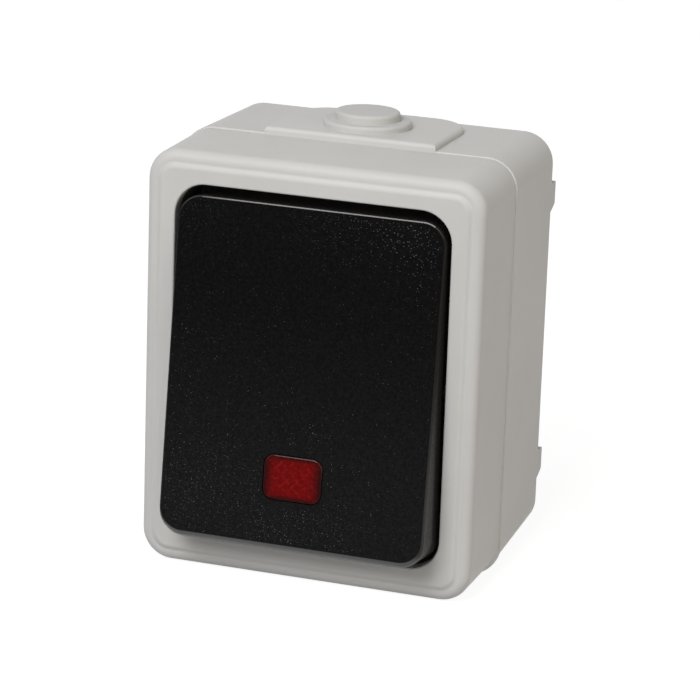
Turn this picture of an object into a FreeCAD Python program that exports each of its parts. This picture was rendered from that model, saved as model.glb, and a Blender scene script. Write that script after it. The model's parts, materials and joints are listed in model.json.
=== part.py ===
import FreeCAD
import Part

import math
import os

# Surface-mounted weatherproof rocker switch, one gang, with a pilot window.
# Frame in millimetres: the wall is the plane y = 0, the front faces -Y, +Z is up,
# and the origin is the centre of the wall-fixing holes on the wall plane.

# Housing outline and walls
WIDTH = 66.0
HEIGHT = 81.0
CORNER = 5.9
WALL = 2.2
REAR_WALL = 2.4
BASE_DEPTH = 27.0
COVER_DEPTH = 20.0
BASE_TAPER = 0.65
COVER_TAPER = 0.25
SEAM_STEP = 0.25
SEAM_CHAMFER = 0.3
REAR_CHAMFER = 0.4

# Spacer feet and wall-fixing holes
FOOT_HEIGHT = 2.5
FOOT_WIDTH = 4.0
FOOT_LENGTH = 5.6
FOOT_BEVEL = 1.1
FOOT_ROUND = 0.45
FOOT_SPACING = 54.0
FOOT_LIFT = 0.35
FIXING_SPACING_X = 40.0
FIXING_SPACING_Z = 60.0
FIXING_HOLE = 4.6
FIXING_BOSS = 9.2

# Cable entries: plugged hole in the top pad, moulded knock-out in the bottom
PAD_WIDTH = 33.8
PAD_LENGTH = 24.5
PAD_RISE = 1.2
PAD_CORNER = 8.0
PAD_ROUND = 0.8
ENTRY_SETBACK = 10.4
ENTRY_HOLE = 14.0
PLUG_FLANGE = 16.9
PLUG_FLANGE_HEIGHT = 1.35
PLUG_CAP = 12.4
PLUG_CAP_HEIGHT = 1.65
PLUG_LIP = 15.4
PLUG_LIP_HEIGHT = 1.3
PLUG_BORE = 9.6
PLUG_SKIN = 1.0
PLUG_ROUND = 0.6
KNOCKOUT_GROOVE = 0.6
KNOCKOUT_SKIN = 1.0

# Cover front, opening and tray
BORDER = 6.2
EDGE_ROUND = 1.9
PLATEAU_INSET = 2.25
PLATEAU_RISE = 0.5
PLATEAU_ROUND = 1.2
PLATEAU_FOOT = 0.8
OPENING_CORNER = 6.0
OPENING_ROUND = 0.35
TRAY_DEPTH = 13.0
TRAY_FLOOR = 2.0
COLLAR_WALL = 1.6
RIM = 1.0
RIM_DEPTH = 2.0
LUG_LENGTH = 8.0
LUG_BULGE = 0.35
LUG_SHIFT = 2.0

# Joint between base and cover
LIP_HEIGHT = 2.0
LIP_WIDTH = 1.0
GASKET = 0.6

# Clearances
FIT = 0.1
RUNNING_FIT = 0.05
REST_GAP = 0.3
SIDE_ROOM = 0.6

# Rocker and lens
ROCKER_TILT = 7.05
ROCKER_PROUD = 3.95
ROCKER_AXIS_DEPTH = 2.5
ROCKER_SIDE_GAP = 0.8
ROCKER_END_GAP = 2.05
ROCKER_DROP = 0.4
ROCKER_SKIRT = 10.5
ROCKER_DRAFT = 0.25
ROCKER_WALL = 2.0
ROCKER_CORNER = 4.6
ROCKER_EDGE = 0.45
ROCKER_EDGE_TURN = 40.0
ROCKER_BEVEL = 0.77
ROCKER_BEVEL_DEPTH = 0.8
TRUNNION = 2.6
TRUNNION_REACH = 1.3
ROCKER_RIB = 1.2
ROCKER_RIB_DEPTH = 3.0
ROCKER_RIB_SPACING = 26.0
PUSHER_WIDTH = 8.0
PUSHER_THICKNESS = 2.4
PUSHER_SPACING = 15.0
LENS_WIDTH = 11.5
LENS_HEIGHT = 8.6
LENS_CORNER = 2.1
LENS_MARGIN = 13.8
LENS_PROUD = 0.15
LENS_ROUND = 0.4
LENS_FLANGE = 1.0
LENS_FACET = 1.6
LENS_FACET_DEPTH = 0.55

# Sealing membrane over the inner rocker
MEMBRANE = 0.8
MEMBRANE_MARGIN = 2.4
MEMBRANE_HEIGHT = 48.0
MEMBRANE_SLOPE = 1.4
HAT_CORNER = 2.5
WING_ROOM = 0.9

# Switch insert
PLATE = 2.0
INSERT_HEIGHT = 48.0
INSERT_DEPTH = 17.4
INSERT_BACK = 1.8
INSERT_CORNER = 2.0
CHEST_WIDTH = 11.2
CHEST_HEIGHT = 26.0
TAB = 0.9
TAB_LENGTH = 6.0
TAB_DEPTH = 7.0
TAB_HOOK = 0.4

# Screws
POST = 8.0
INSERT_POST = 6.0
INSERT_SCREW_SPACING_X = 20.0
POST_RIB = 1.8
POST_RIB_SHORT = 3.0
COVER_SCREW = 3.2
COVER_SCREW_HEAD = 6.2
COVER_SCREW_HEAD_HEIGHT = 2.2
COVER_SCREW_LENGTH = 14.0
COVER_SCREW_MARGIN = 1.35
SCREW_SEAL = 0.8
INSERT_SCREW = 3.0
INSERT_SCREW_HEAD = 5.6
INSERT_SCREW_LENGTH = 12.0
SCREW_SLOT = 0.8
SCREW_SLOT_DEPTH = 1.0

# Inner rocker and plunger
DOLLY_AXIS_DEPTH = 2.2
DOLLY_REACH = 8.2
DOLLY_WING_WIDTH = 14.0
DOLLY_WING_HEIGHT = 21.0
DOLLY_WING = 2.4
DOLLY_HUB = 7.2
DOLLY_NECK = 8.0
DOLLY_NOSE = 5.8
DOLLY_NOSE_LENGTH = 4.6
DOLLY_SIDE_PLAY = 0.3
DOLLY_TRUNNION = 3.0
DOLLY_TRUNNION_REACH = 2.5
PLUNGER = 3.2
PLUNGER_LENGTH = 5.2
SPRING_WIRE = 0.5
SPRING_LENGTH = 6.0
SPRING_TURNS = 4

# Contact lever, contacts and terminals
LEVER_TILT = 8.0
LEVER_ARM = 9.0
LEVER_WIDTH = 5.2
LEVER_STRIP = 1.0
LEVER_SEAT = 0.6
LEVER_HUB = 4.4
LEVER_END = 2.0
KNIFE = 1.6
CONTACT = 3.2
CONTACT_HEIGHT = 0.8
CONTACT_ROUND = 0.4
STRIP = 0.8
STRIP_WIDTH = 4.4
STRIP_PAD = 2.0
CAGE = 6.5
CAGE_DEPTH = 8.5
CAGE_WALL = 1.25
TERMINAL_SPACING_Z = 29.0
WIRE_BORE = 3.4
WIRE_SETBACK = 3.4
TERMINAL_SCREW = 3.0
TERMINAL_SCREW_HEAD = 4.8
TERMINAL_SCREW_HEAD_HEIGHT = 2.0
TERMINAL_SCREW_LENGTH = 5.0
TERMINAL_SCREW_OPEN = 1.0

# Pilot lamp
LAMP = 4.4
LAMP_LENGTH = 8.4
LEAD = 0.7
LEAD_BEND = 1.2
LEAD_DROP = 9.0
RESISTOR = 1.6
RESISTOR_LENGTH = 2.8

V = FreeCAD.Vector
X_AXIS = V(1, 0, 0)
Y_AXIS = V(0, 1, 0)
Z_AXIS = V(0, 0, 1)
PAST = 1.0  # how far a cutter runs past the face that it opens

# Levels along Y, from the wall forward
rear_y = -FOOT_HEIGHT
floor_y = rear_y - REAR_WALL
seam_y = rear_y - BASE_DEPTH
front_y = seam_y - COVER_DEPTH
ledge_y = front_y + PLATEAU_RISE
collar_y = ledge_y + WALL
tray_y = front_y + TRAY_DEPTH
tray_back_y = tray_y + TRAY_FLOOR
plate_y = tray_back_y + MEMBRANE
insert_y = plate_y + PLATE
insert_back_y = insert_y + INSERT_DEPTH
strip_y = insert_back_y - STRIP_PAD - STRIP
cage_y = strip_y - CAGE_DEPTH
wire_y = strip_y - WIRE_SETBACK

# Half sizes and places that follow from the driving dimensions
half_w = WIDTH / 2
half_h = HEIGHT / 2
opening_w = half_w - BORDER
opening_h = half_h - BORDER
collar_w = opening_w + COLLAR_WALL
collar_h = opening_h + COLLAR_WALL
collar_r = OPENING_CORNER + COLLAR_WALL
rocker_w = opening_w - ROCKER_SIDE_GAP
rocker_h = opening_h - ROCKER_END_GAP
rocker_y = front_y - ROCKER_PROUD
rocker_axis_y = front_y + ROCKER_AXIS_DEPTH
lens_z = LENS_MARGIN - rocker_h - ROCKER_DROP
post_x = opening_w - COVER_SCREW_HEAD / 2 - COVER_SCREW_MARGIN
plate_w = post_x - POST / 2 - SIDE_ROOM
insert_w = plate_w - TAB
insert_h = INSERT_HEIGHT / 2
insert_screw_x = INSERT_SCREW_SPACING_X / 2
insert_screw_z = insert_h + REST_GAP + INSERT_POST / 2
plate_h = insert_screw_z + INSERT_POST / 2
membrane_w = plate_w - MEMBRANE_MARGIN
membrane_h = MEMBRANE_HEIGHT / 2
terminal_x = insert_w - CAGE_WALL - CAGE / 2
terminal_z = TERMINAL_SPACING_Z / 2
dolly_y = insert_y + DOLLY_AXIS_DEPTH
wing_y = dolly_y - DOLLY_REACH
hub_w = CHEST_WIDTH / 2 - DOLLY_SIDE_PLAY
lamp_z = -(terminal_z + CAGE / 2 + LEAD / 2 + RUNNING_FIT)
lamp_y = insert_y + FIT + RESISTOR / 2
fixed_contact_y = strip_y - CONTACT_HEIGHT
tilt = math.radians(ROCKER_TILT)
swing = math.radians(LEVER_TILT)

# Places of the switched pieces
TERMINALS = ("common_terminal", "upper_terminal", "lower_terminal", "lamp_terminal")
INSERT_SCREWS = ((-insert_screw_x, insert_screw_z), (insert_screw_x, -insert_screw_z))
entry_y = seam_y + ENTRY_SETBACK
hat_w = DOLLY_WING_WIDTH / 2 + WING_ROOM + MEMBRANE + MEMBRANE_SLOPE
hat_h = DOLLY_WING_HEIGHT / 2 + WING_ROOM + MEMBRANE + MEMBRANE_SLOPE / 2
axis_drop = (dolly_y - rocker_axis_y) * math.cos(tilt)
pusher_y = rocker_axis_y + axis_drop - DOLLY_REACH - 2 * REST_GAP - MEMBRANE
contact_edge = LEVER_ARM + CONTACT / 2 - CONTACT_ROUND
contact_lift = (CONTACT_HEIGHT - LEVER_SEAT) * math.cos(swing) + contact_edge * math.sin(swing)
lever_y = fixed_contact_y - REST_GAP - contact_lift
lever_back_y = lever_y - LEVER_SEAT
lever_room = (lever_y - dolly_y) * math.cos(swing) - LEVER_SEAT - LEVER_STRIP
ball_y = dolly_y + (lever_room - PLUNGER / 2 - REST_GAP) / math.cos(tilt + swing)
plunger_y = ball_y - PLUNGER_LENGTH + PLUNGER / 2
resistor_x0 = LAMP_LENGTH / 2 + LEAD
resistor_x1 = resistor_x0 + RESISTOR_LENGTH


# Outlines and plain bodies


def outline(w, h, r, y):
    """Rounded rectangle of half sizes w and h in the plane at y."""
    flat_w = w - r
    flat_h = h - r
    bow = r * math.sqrt(0.5)
    arcs = []
    for sx, sz in ((1, 1), (-1, 1), (-1, -1), (1, -1)):
        side = V(sx * w, y, sz * flat_h)
        top = V(sx * flat_w, y, sz * h)
        middle = V(sx * (flat_w + bow), y, sz * (flat_h + bow))
        first, last = (side, top) if sx == sz else (top, side)
        arcs.append((first, middle, last))
    edges = []
    for arc, following in zip(arcs, arcs[1:] + arcs[:1]):
        edges.append(Part.Arc(*arc).toShape())
        edges.append(Part.LineSegment(arc[2], following[0]).toShape())
    return Part.Wire(edges)


def slab(w, h, r, y0, y1, z=0.0):
    """Rounded rectangular plate between y0 and y1, centred at height z."""
    plate = Part.Face(outline(w, h, r, y0)).extrude(V(0, y1 - y0, 0))
    plate.translate(V(0, 0, z))
    return plate


def loft(*wires):
    return Part.makeLoft(list(wires), True, True)


def block(x0, x1, y0, y1, z0, z1):
    return Part.makeBox(x1 - x0, y1 - y0, z1 - z0, V(x0, y0, z0))


def rod_x(diameter, y, z, x0, x1):
    return Part.makeCylinder(diameter / 2, x1 - x0, V(x0, y, z), X_AXIS)


def rod_y(diameter, x, z, y0, y1):
    return Part.makeCylinder(diameter / 2, y1 - y0, V(x, y0, z), Y_AXIS)


def turned(shape, y, degrees):
    """Copy of a shape turned about the line through (0, y, 0) along X."""
    copy = shape.copy()
    copy.rotate(V(0, y, 0), X_AXIS, degrees)
    return copy


def mirrored(shape):
    return shape.mirror(V(0, 0, 0), X_AXIS)


def joined(first, *others):
    return first.multiFuse(list(others)).removeSplitter()


def edges_at(shape, y, w=math.inf, h=math.inf):
    """Edges that lie in the plane at y, within the half sizes w and h."""
    near = 1e-4
    found = []
    for edge in shape.Edges:
        box = edge.BoundBox
        flat = abs(box.YMin - y) < near and abs(box.YMax - y) < near
        wide = max(-box.XMin, box.XMax) < w + near
        tall = max(-box.ZMin, box.ZMax) < h + near
        if flat and wide and tall:
            found.append(edge)
    return found


def saved(name, *solids):
    shape = solids[0] if len(solids) == 1 else Part.makeCompound(list(solids))
    shape.exportStep(f"parts/{name}.step")


# Rear box


def base_half(size, y):
    """Half size of the drafted box at depth y."""
    return size - BASE_TAPER * (y - seam_y) / BASE_DEPTH


def base_outline(inset, y):
    return outline(base_half(half_w, y) - inset, base_half(half_h, y) - inset, CORNER - inset, y)


def leaning(shape):
    """Copy of a shape made on a level top wall, set onto the drafted one."""
    copy = shape.copy()
    lean = math.degrees(math.atan2(BASE_TAPER, BASE_DEPTH))
    copy.rotate(V(0, seam_y, half_h), X_AXIS, -lean)
    return copy


def upright(diameter, z0, z1):
    """Cylinder on the axis of the cable entry."""
    return Part.makeCylinder(diameter / 2, z1 - z0, V(0, entry_y, z0), Z_AXIS)


def entry_pad():
    """Raised seat of the cable entry, round at its rear corners, flush with the seam."""
    w = PAD_WIDTH / 2
    z = half_h - WALL / 2
    end_y = seam_y + PAD_LENGTH
    start_y = seam_y - PAST
    bow = PAD_CORNER * (1 - math.sqrt(0.5))
    right = V(w, end_y - PAD_CORNER, z)
    right_end = V(w - PAD_CORNER, end_y, z)
    left_end = V(PAD_CORNER - w, end_y, z)
    left = V(-w, end_y - PAD_CORNER, z)
    edges = [
        Part.LineSegment(V(-w, start_y, z), V(w, start_y, z)).toShape(),
        Part.LineSegment(V(w, start_y, z), right).toShape(),
        Part.Arc(right, V(w - bow, end_y - bow, z), right_end).toShape(),
        Part.LineSegment(right_end, left_end).toShape(),
        Part.Arc(left_end, V(bow - w, end_y - bow, z), left).toShape(),
        Part.LineSegment(left, V(-w, start_y, z)).toShape(),
    ]
    pad = Part.Face(Part.Wire(edges)).extrude(V(0, 0, WALL / 2 + PAD_RISE))
    ahead = block(-half_w, half_w, seam_y - COVER_DEPTH, seam_y, 0, HEIGHT)
    pad = leaning(pad).cut(ahead)
    rim = [e for e in pad.Edges if e.BoundBox.ZMin > half_h - BASE_TAPER + PAD_RISE / 2]
    return pad.makeFillet(PAD_ROUND, rim)


def spacer_foot(z):
    """Foot flush with the right side wall, rounded at its end and bevelled below."""
    x = base_half(half_w, rear_y)
    root_y = rear_y - REAR_WALL / 2
    top = z + FOOT_LENGTH / 2
    bottom = z - FOOT_LENGTH / 2
    corners = [
        V(x, root_y, top),
        V(x, 0, top),
        V(x, 0, bottom + FOOT_BEVEL),
        V(x, rear_y, bottom),
        V(x, root_y, bottom),
    ]
    foot = Part.Face(Part.makePolygon(corners + corners[:1])).extrude(V(-FOOT_WIDTH, 0, 0))
    ends = [e for e in edges_at(foot, 0) if e.BoundBox.XMax - e.BoundBox.XMin > FOOT_WIDTH / 2]
    return foot.makeFillet(FOOT_ROUND, ends)


def post(diameter, x, z, front):
    """Screw post that stands on the rear wall and reaches forward to the level front."""
    return rod_y(diameter, x, z, front, floor_y + REAR_WALL / 2)


def pilot(diameter, x, z, front, length):
    """Hole for a screw of that length in a post."""
    return rod_y(diameter + 2 * RUNNING_FIT, x, z, front - PAST, front + length + REST_GAP)


def corner_lug():
    """Low barrel across the seam in the lower right corner, to pull or prise the cover by."""
    shift = LUG_SHIFT * math.sqrt(0.5)
    x = half_w - CORNER + shift
    z = CORNER - half_h - shift
    crest = x + CORNER - LUG_SHIFT + LUG_BULGE
    rim = crest - LUG_BULGE - COVER_TAPER
    y0 = seam_y - LUG_LENGTH / 2
    y1 = seam_y + LUG_LENGTH / 2
    edges = [
        Part.Arc(V(rim, y0, z), V(crest, seam_y, z), V(rim, y1, z)).toShape(),
        Part.LineSegment(V(rim, y1, z), V(x, y1, z)).toShape(),
        Part.LineSegment(V(x, y1, z), V(x, y0, z)).toShape(),
        Part.LineSegment(V(x, y0, z), V(rim, y0, z)).toShape(),
    ]
    return Part.Face(Part.Wire(edges)).revolve(V(x, 0, z), Y_AXIS, 360)


def lug_side(y0, y1):
    """Block that takes one side of the seam away from a lug."""
    return block(0, WIDTH, y0, y1, -HEIGHT, 0)


def base_box():
    outer = loft(
        base_outline(SEAM_CHAMFER, seam_y),
        base_outline(0, seam_y + SEAM_CHAMFER / 2),
        base_outline(0, rear_y - REAR_CHAMFER),
        base_outline(REAR_CHAMFER, rear_y),
    )
    hollow = loft(base_outline(WALL, seam_y), base_outline(WALL, floor_y))
    root_y = floor_y + REAR_WALL / 2
    rib_y = seam_y + POST_RIB_SHORT
    lug = corner_lug().cut(lug_side(seam_y - LUG_LENGTH, seam_y))
    outer = joined(outer, lug, mirrored(lug))
    added = [lip_ring(seam_y - LIP_HEIGHT, seam_y), entry_pad()]
    holes = []
    for z in (FOOT_LIFT - FOOT_SPACING / 2, FOOT_LIFT + FOOT_SPACING / 2):
        added += [spacer_foot(z), mirrored(spacer_foot(z))]
    for x in (-FIXING_SPACING_X / 2, FIXING_SPACING_X / 2):
        for z in (-FIXING_SPACING_Z / 2, FIXING_SPACING_Z / 2):
            added.append(rod_y(FIXING_BOSS, x, z, root_y, 0))
            holes.append(rod_y(FIXING_HOLE, x, z, floor_y - PAST, PAST))
    side_rib = block(post_x, half_w - WALL / 2, rib_y, root_y, -POST_RIB / 2, POST_RIB / 2)
    added += [side_rib, mirrored(side_rib)]
    for x in (-post_x, post_x):
        added.append(post(POST, x, 0, tray_back_y))
        holes.append(pilot(COVER_SCREW, x, 0, tray_back_y, COVER_SCREW_LENGTH - TRAY_FLOOR - SCREW_SEAL))
    for x, z in INSERT_SCREWS:
        z0, z1 = sorted((z, math.copysign(half_h - WALL / 2, z)))
        added.append(post(INSERT_POST, x, z, insert_y))
        added.append(block(x - POST_RIB / 2, x + POST_RIB / 2, rib_y, root_y, z0, z1))
        holes.append(pilot(INSERT_SCREW, x, z, insert_y, INSERT_SCREW_LENGTH - PLATE))
    holes.append(leaning(upright(ENTRY_HOLE, half_h - WALL - PAST, half_h + PAD_RISE + PAST)))
    groove = upright(ENTRY_HOLE + 2 * KNOCKOUT_GROOVE, half_h - WALL + KNOCKOUT_SKIN, half_h + PAST)
    groove = groove.cut(upright(ENTRY_HOLE, half_h - WALL, half_h + 2 * PAST))
    holes.append(leaning(groove).mirror(V(0, 0, 0), Z_AXIS))
    return joined(outer.cut(hollow), *added).cut(holes)


def lip_ring(y0, y1):
    """Ring on the inner side of the wall, from y0 to y1."""
    inner_w = half_w - WALL
    inner_h = half_h - WALL
    inner_r = CORNER - WALL
    ring = slab(inner_w + LIP_WIDTH, inner_h + LIP_WIDTH, inner_r + LIP_WIDTH, y0, y1)
    return ring.cut(slab(inner_w, inner_h, inner_r, y0 - PAST, y1 + PAST))


def cable_plug():
    """Stepped rubber plug, hollow below, held in the wall by an inner lip."""
    seat = half_h + PAD_RISE
    inside = half_h - WALL
    step = seat + PLUG_FLANGE_HEIGHT
    top = step + PLUG_CAP_HEIGHT
    cap = upright(PLUG_CAP, seat, top)
    cap = cap.makeFillet(PLUG_ROUND, [e for e in cap.Edges if e.BoundBox.ZMin > step])
    flange = upright(PLUG_FLANGE, seat, step)
    flange = flange.makeFillet(PLUG_ROUND, [e for e in flange.Edges if e.BoundBox.ZMin > seat])
    neck = upright(ENTRY_HOLE - 2 * FIT, inside - PLUG_LIP_HEIGHT, seat)
    lip = Part.makeCone(
        ENTRY_HOLE / 2 - FIT, PLUG_LIP / 2, PLUG_LIP_HEIGHT, V(0, entry_y, inside - PLUG_LIP_HEIGHT), Z_AXIS
    )
    bore = upright(PLUG_BORE, inside - PLUG_LIP_HEIGHT - PAST, top - PLUG_SKIN)
    return leaning(joined(cap, flange, neck, lip).cut(bore))


# Front cover


def cover_face(face_w, face_h, face_y):
    """Front of the cover: rounded edge, ledge and the softly raised plateau."""
    face = slab(face_w, face_h, CORNER, ledge_y, face_y)
    face = face.makeFillet(EDGE_ROUND, edges_at(face, ledge_y))
    rise_w = face_w - PLATEAU_INSET
    rise_h = face_h - PLATEAU_INSET
    plateau = slab(rise_w, rise_h, CORNER - PLATEAU_INSET, front_y, ledge_y + WALL / 2)
    plateau = plateau.makeFillet(PLATEAU_ROUND, edges_at(plateau, front_y))
    face = joined(face, plateau)
    return face.makeFillet(PLATEAU_FOOT, edges_at(face, ledge_y, rise_w, rise_h))


def trunnion_bore():
    """Bearing of the rocker, half in the cover's front wall and half in the tray's collar."""
    reach = collar_w + FIT
    return rod_x(TRUNNION + 2 * RUNNING_FIT, rocker_axis_y, 0, -reach, reach)


def front_cover():
    face_w = half_w - COVER_TAPER
    face_h = half_h - COVER_TAPER
    face_y = ledge_y + EDGE_ROUND + PAST
    outer = loft(
        outline(face_w, face_h, CORNER, face_y),
        outline(half_w - SEAM_STEP, half_h - SEAM_STEP, CORNER - SEAM_STEP, seam_y),
    )
    hollow = loft(
        outline(half_w - WALL, half_h - WALL, CORNER - WALL, seam_y),
        outline(face_w - WALL, face_h - WALL, CORNER - WALL, collar_y),
    )
    rim_w = collar_w + FIT
    rim_h = collar_h + FIT
    rim_r = collar_r + FIT
    rim = slab(rim_w + RIM, rim_h + RIM, rim_r + RIM, collar_y - PAST, collar_y + RIM_DEPTH)
    rim = rim.cut(slab(rim_w, rim_h, rim_r, collar_y - 2 * PAST, collar_y + RIM_DEPTH + PAST))
    rebate_w = half_w - WALL + LIP_WIDTH + FIT
    rebate_h = half_h - WALL + LIP_WIDTH + FIT
    rebate_r = CORNER - WALL + LIP_WIDTH + FIT
    rebate = slab(rebate_w, rebate_h, rebate_r, seam_y - LIP_HEIGHT - GASKET, seam_y + PAST)
    lug = corner_lug().cut(lug_side(seam_y, seam_y + LUG_LENGTH))
    cover = joined(outer, cover_face(face_w, face_h, face_y), lug, mirrored(lug))
    cover = cover.cut(hollow.fuse(rebate).cut(rim))
    cover = cover.cut(slab(opening_w, opening_h, OPENING_CORNER, front_y - PAST, collar_y + PAST))
    cover = cover.makeFillet(OPENING_ROUND, edges_at(cover, front_y, opening_w, opening_h))
    return cover.cut(trunnion_bore())


def rocker_tray():
    """Black tray around the rocker's back, welded by its collar into the rim behind the cover's front."""
    tray = slab(collar_w, collar_h, collar_r, collar_y, tray_back_y)
    holes = [
        slab(opening_w, opening_h, OPENING_CORNER, collar_y - PAST, tray_y),
        trunnion_bore(),
        slab(hat_w + SIDE_ROOM, hat_h + SIDE_ROOM, HAT_CORNER, tray_y - PAST, tray_back_y + PAST),
        lamp_window(tray_y, tray_back_y),
    ]
    for x in (-post_x, post_x):
        holes.append(rod_y(COVER_SCREW + 2 * FIT, x, 0, tray_y - PAST, tray_back_y + PAST))
    return tray.cut(holes)


def lamp_window(y0, y1):
    """Opening for the light of the pilot lamp, through a wall from y0 to y1."""
    w = LAMP_LENGTH / 2 + SIDE_ROOM
    h = LAMP / 2 + SIDE_ROOM
    return slab(w, h, LENS_CORNER, y0 - PAST, y1 + PAST, lamp_z)


# Rocker, modelled level and then turned to its rest, pressed in at the top


def rocker_section(inset, depth):
    """Outline at a depth behind the face, drawn in all round and cut short by the bevel of the lower end."""
    bevel = max(0, ROCKER_BEVEL * (1 - depth / ROCKER_BEVEL_DEPTH))
    section = outline(
        rocker_w - inset, rocker_h - inset - bevel / 2, ROCKER_CORNER - inset, rocker_y + depth
    )
    section.translate(V(0, 0, bevel / 2 - ROCKER_DROP))
    return section


def rocker():
    back_y = rocker_y + ROCKER_SKIRT
    turn = math.radians(ROCKER_EDGE_TURN)
    shell = loft(
        rocker_section(ROCKER_EDGE, 0),
        rocker_section(ROCKER_EDGE * (1 - math.sin(turn)), ROCKER_EDGE * (1 - math.cos(turn))),
        rocker_section(0, ROCKER_EDGE),
        rocker_section(0, ROCKER_BEVEL_DEPTH),
        rocker_section(-ROCKER_DRAFT, ROCKER_SKIRT),
    )
    inner_w = rocker_w - ROCKER_WALL
    inner_h = rocker_h - ROCKER_WALL
    inner_y = rocker_y + ROCKER_WALL
    hollow = slab(inner_w, inner_h, ROCKER_CORNER - ROCKER_WALL, inner_y, back_y + PAST, -ROCKER_DROP)
    root_y = inner_y - ROCKER_WALL / 2
    trunnion = rod_x(TRUNNION, rocker_axis_y, 0, inner_w + ROCKER_WALL / 2, opening_w + TRUNNION_REACH)
    added = [trunnion, mirrored(trunnion)]
    rib_x = ROCKER_RIB_SPACING / 2
    reach = inner_h + ROCKER_WALL / 2
    for x in (-rib_x, rib_x):
        side = ROCKER_RIB / 2
        ends = (-reach - ROCKER_DROP, reach - ROCKER_DROP)
        added.append(block(x - side, x + side, root_y, inner_y + ROCKER_RIB_DEPTH, *ends))
    half = PUSHER_THICKNESS / 2
    for z in (-PUSHER_SPACING / 2, PUSHER_SPACING / 2):
        ends = (-PUSHER_WIDTH / 2, PUSHER_WIDTH / 2)
        added.append(block(*ends, root_y, pusher_y - half, z - half, z + half))
        added.append(rod_x(PUSHER_THICKNESS, pusher_y - half, z, *ends))
    window = slab(
        LENS_WIDTH / 2 + FIT, LENS_HEIGHT / 2 + FIT, LENS_CORNER + FIT, rocker_y - PAST, inner_y, lens_z
    )
    shell = joined(shell.cut(hollow), *added).cut(window)
    return turned(shell, rocker_axis_y, -ROCKER_TILT)


def rocker_lens():
    """Clear red window, flanged behind the face, with a cut-diamond back that spreads the light."""
    w = LENS_WIDTH / 2
    h = LENS_HEIGHT / 2
    seat_y = rocker_y + ROCKER_WALL
    back_y = seat_y + LENS_FLANGE
    pane_y = rocker_y - LENS_PROUD
    pane = slab(w, h, LENS_CORNER, pane_y, seat_y, lens_z)
    pane = pane.makeFillet(LENS_ROUND, edges_at(pane, pane_y))
    flange = slab(w + LENS_FLANGE, h + LENS_FLANGE, LENS_CORNER, seat_y, back_y, lens_z)
    lens = joined(pane, flange)
    half = LENS_FACET / 2 - FIT
    corners = [V(-half, back_y, 0), V(half, back_y, 0), V(0, back_y - LENS_FACET_DEPTH, 0)]
    groove = Part.Face(Part.makePolygon(corners + corners[:1])).extrude(V(0, 0, 2 * LENS_WIDTH))
    count = math.ceil((w + h) / LENS_FACET)
    for slant in (-45, 45):
        cuts = []
        for index in range(-count, count + 1):
            cut = groove.copy()
            cut.translate(V(index * LENS_FACET, 0, lens_z - LENS_WIDTH))
            cut.rotate(V(0, 0, lens_z), Y_AXIS, slant)
            cuts.append(cut)
        lens = lens.cut(cuts)
    return turned(lens, rocker_axis_y, -ROCKER_TILT)


def rocker_membrane():
    """Soft sheet between tray and insert, raised into a hat that follows the inner rocker."""
    def hat(grow, y):
        top_w = DOLLY_WING_WIDTH / 2 + WING_ROOM + grow
        top_h = DOLLY_WING_HEIGHT / 2 + WING_ROOM + grow
        foot = outline(top_w + MEMBRANE_SLOPE, top_h + MEMBRANE_SLOPE / 2, HAT_CORNER, plate_y)
        crown = turned(outline(top_w, top_h, HAT_CORNER, y), dolly_y, -ROCKER_TILT)
        return loft(foot, crown)

    sheet = slab(membrane_w, membrane_h, HAT_CORNER, tray_back_y, plate_y)
    outside = hat(MEMBRANE, wing_y - REST_GAP - MEMBRANE)
    inside = hat(0, wing_y - REST_GAP)
    return joined(sheet, outside).cut(inside)


# Switch insert


def strip_runs(node):
    """Plan rectangles (x0, x1, z0, z1) of a terminal's strip, from its cage to its contact."""
    half = STRIP_WIDTH / 2
    cage = CAGE / 2
    outer_x = terminal_x + cage
    inner_x = terminal_x - cage
    top = terminal_z + cage
    arm = LEVER_ARM
    if node == "upper_terminal":
        return [(inner_x, outer_x, arm - half, top), (-half, terminal_x, arm - half, arm + half)]
    if node == "lower_terminal":
        return [(inner_x, outer_x, -top, half - arm), (-half, terminal_x, -arm - half, half - arm)]
    if node == "common_terminal":
        return [(-outer_x, -inner_x, -half, top), (-terminal_x, half, -half, half)]
    return [(-outer_x, -inner_x, -top, cage - terminal_z)]


def cage_place(node):
    """Side and level of a terminal's cage: the switched terminals are on the right."""
    x = terminal_x if node in ("upper_terminal", "lower_terminal") else -terminal_x
    z = terminal_z if node in ("upper_terminal", "common_terminal") else -terminal_z
    return x, z


def wire_bore(x, z, reach):
    """Way of a wire into a cage, from its middle outwards."""
    z0 = z if z > 0 else z - reach
    return Part.makeCylinder(WIRE_BORE / 2, reach, V(x, wire_y, z0), Z_AXIS)


def terminal(node):
    """Brass clamp cage and its strip, in one piece."""
    x, z = cage_place(node)
    half = CAGE / 2
    cage = block(x - half, x + half, cage_y, strip_y, z - half, z + half)
    runs = [block(x0, x1, strip_y, strip_y + STRIP, z0, z1) for x0, x1, z0, z1 in strip_runs(node)]
    if node == "common_terminal":
        width = STRIP_WIDTH / 2
        runs.append(block(-width, width, lever_y, strip_y, -KNIFE / 2, KNIFE / 2))
        runs.append(rod_x(KNIFE, lever_y, 0, -width, width))
    bores = [
        wire_bore(x, z, CAGE),
        wire_bore(x, z, CAGE / 2 - CAGE_WALL).mirror(V(0, 0, z), Z_AXIS),
        rod_y(TERMINAL_SCREW + 2 * RUNNING_FIT, x, z, cage_y - PAST, wire_y),
    ]
    return joined(cage, *runs).cut(bores)


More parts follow.
